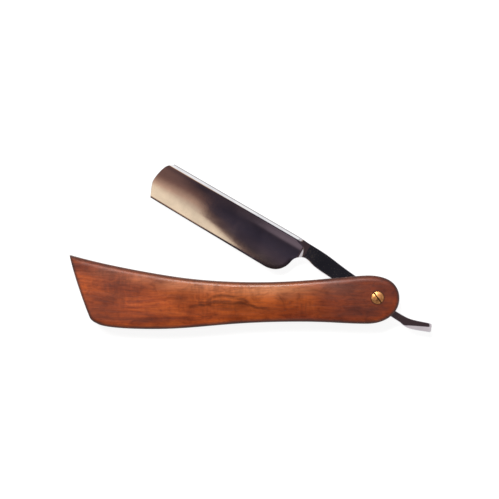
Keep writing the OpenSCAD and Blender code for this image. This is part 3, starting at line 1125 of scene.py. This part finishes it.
def add_floor():
    """A plain pale floor, outside the object."""
    bpy.ops.mesh.primitive_plane_add(size=FLOOR_SIZE, location=(0, 0, FLOOR_LEVEL))
    floor = bpy.context.active_object
    floor.name = "floor"
    material, _, shader, _ = new_material("floor_white")
    shader.inputs["Base Color"].default_value = (FLOOR_GREY, FLOOR_GREY, FLOOR_GREY, 1.0)
    shader.inputs["Roughness"].default_value = 0.9
    shader.inputs["Specular IOR Level"].default_value = 0.0
    shader.inputs["Emission Color"].default_value = (1.0, 1.0, 1.0, 1.0)
    shader.inputs["Emission Strength"].default_value = FLOOR_GLOW
    floor.data.materials.append(material)


def add_key():
    """A soft lamp that lights everything but the blade."""
    data = bpy.data.lights.new("key", "AREA")
    data.shape = "RECTANGLE"
    data.size, data.size_y = KEY_SIZE
    data.energy = 30.0
    data.color = (1.0, 0.98, 0.96)
    key = bpy.data.objects.new("key", data)
    key.location = VIEW_CENTRE * MM + KEY_DIRECTION * KEY_DISTANCE
    key.rotation_mode = "QUATERNION"
    key.rotation_quaternion = (-KEY_DIRECTION).to_track_quat("-Z", "Y")
    scene.collection.objects.link(key)
    # the polished blade shows the soft room instead of the lamp itself
    unlit = bpy.data.collections.new("not_lit_by_key")
    unlit.objects.link(blade)
    key.light_linking.receiver_collection = unlit
    unlit.collection_objects[0].light_linking.link_state = "EXCLUDE"


add_camera()
add_floor()
add_key()

# ---- the room that glossy surfaces show ----

# Directions are read along the blade (p, towards the nose) and across it (q, towards the edge).
# The places along p are those of a viewer this far away.
PATCH_DISTANCE = 700.0

CEILING = [
    (0.0, (58, 46, 50)), (0.225, (60, 48, 50)), (0.34, (64, 53, 54)), (0.46, (66, 55, 62)),
    (0.59, (55, 48, 58)), (0.71, (47, 41, 50)), (0.83, (56, 46, 51)), (1.0, (60, 46, 46)),
]
CEILING_SHADE = (34, 33, 38)
CEILING_MAUVE = (104, 90, 97)
WARM_PATCH = [
    (0.0, (58, 46, 50)), (0.35, (118, 86, 76)), (0.7, (190, 154, 130)), (1.0, (236, 213, 182)),
]
WALLS = [
    (0.0, (206, 206, 208)), (0.22, (168, 167, 171)), (0.5, (206, 203, 204)), (1.0, (196, 188, 190)),
]
# Middle of the dark ceiling, and how far from it the walls begin and are full
CEILING_MIDDLE = (-0.1, -0.17, 1.0)
CEILING_EDGE = (0.42, 0.62)
GLOSS_STRENGTH, SOFT_STRENGTH = 1.35, 0.32


def warm_patch(g, p, q):
    """How warm the ceiling is: a patch with a sharp, slanted start and a softer brown end."""
    start = g.plus(g.line(q, 0.06, 0.175, 0.0085, 0.0375), g.line(q, 0.175, 0.33, 0.0, 0.006))
    past = g.minus(p, start)
    lead_in = g.times(g.line(past, -0.022, -0.002, 0.0, 0.2), g.step(q, 0.34, 0.2))
    body = g.times(g.step(past, -0.004, 0.005), g.step(past, 0.0, 0.012, 0.93, 1.0))
    warm = g.times(g.most(lead_in, body), g.step(q, 0.5, 0.12))
    cool = g.times(g.step(p, 0.055, 0.078), g.step(q, 0.16, 0.3))
    warm = g.times(warm, g.minus(1.0, g.times(cool, 0.25)))
    brown = g.times(g.step(p, 0.045, 0.075), g.step(q, 0.52, 0.42))
    return g.times(g.most(warm, g.times(brown, 0.26)), g.step(p, 0.16, 0.1))


def ceiling_colour(g, p, q):
    """The dark ceiling that the polished steel shows, with its warm patch beyond the nose."""
    colour = g.ramp(g.line(q, -0.2, 0.6), CEILING)
    shade = g.times(g.step(q, 0.035, 0.005), g.step(p, -0.01, -0.03))
    colour = g.paint(colour, g.times(shade, g.step(p, -0.115, -0.09)), CEILING_SHADE)
    mauve = g.times(g.step(q, 0.39, 0.43), g.step(p, -0.012, 0.014, 1.0, 0.0))
    colour = g.paint(colour, g.times(mauve, g.step(q, 0.45, 0.5, 1.0, 0.35)), CEILING_MAUVE)
    warm = warm_patch(g, p, q)
    return g.mix(g.step(warm, 0.0, 0.12), colour, g.ramp(warm, WARM_PATCH))


def wall_colour(g, direction):
    """Pale walls, with soft lighter and darker panels low down."""
    up = g.split(direction)[2]
    panels = g.stretched(direction, (1.6, 1.6, 0.5), 1.0)
    panels = g.step(panels, 0.36, 0.64, 0.74, 1.14)
    low_down = g.step(up, 0.3, 0.6, 1.0, 0.0)
    panels = g.plus(1.0, g.times(g.minus(panels, 1.0), low_down))
    return g.shade(g.ramp(g.step(up, 0.05, 0.75), WALLS), panels)


def add_world():
    """White to the camera, a soft even light to matt surfaces, and the room to glossy ones."""
    world = bpy.data.worlds.new("studio")
    scene.world = world
    world.use_nodes = True
    g = Graph(world.node_tree)
    direction = g.add("ShaderNodeTexCoord").outputs["Generated"]
    nearness = VIEW_DISTANCE / PATCH_DISTANCE
    p = g.vector("DOT_PRODUCT", direction, tuple(v * nearness for v in A_DIR))
    q = g.vector("DOT_PRODUCT", direction, tuple(-v for v in B_DIR))
    far = g.vector("LENGTH", g.vector("SUBTRACT", direction, CEILING_MIDDLE))
    room = g.mix(g.step(far, *CEILING_EDGE), ceiling_colour(g, p, q), wall_colour(g, direction))
    gloss = g.add("ShaderNodeBackground", {"Color": room, "Strength": GLOSS_STRENGTH})
    soft = g.add("ShaderNodeBackground", {"Color": (1.0, 0.995, 0.99, 1.0), "Strength": SOFT_STRENGTH})
    plain = g.add("ShaderNodeBackground", {"Color": (1.0, 1.0, 1.0, 1.0), "Strength": 1.0})
    rays = g.add("ShaderNodeLightPath")
    lit = g.add("ShaderNodeMixShader", {
        0: rays.outputs["Is Glossy Ray"], 1: soft.outputs[0], 2: gloss.outputs[0],
    })
    seen = g.add("ShaderNodeMixShader", {
        0: rays.outputs["Is Camera Ray"], 1: lit.outputs[0], 2: plain.outputs[0],
    })
    g.put(g.add("ShaderNodeOutputWorld").inputs[0], seen.outputs[0])


add_world()

bpy.context.view_layer.update()
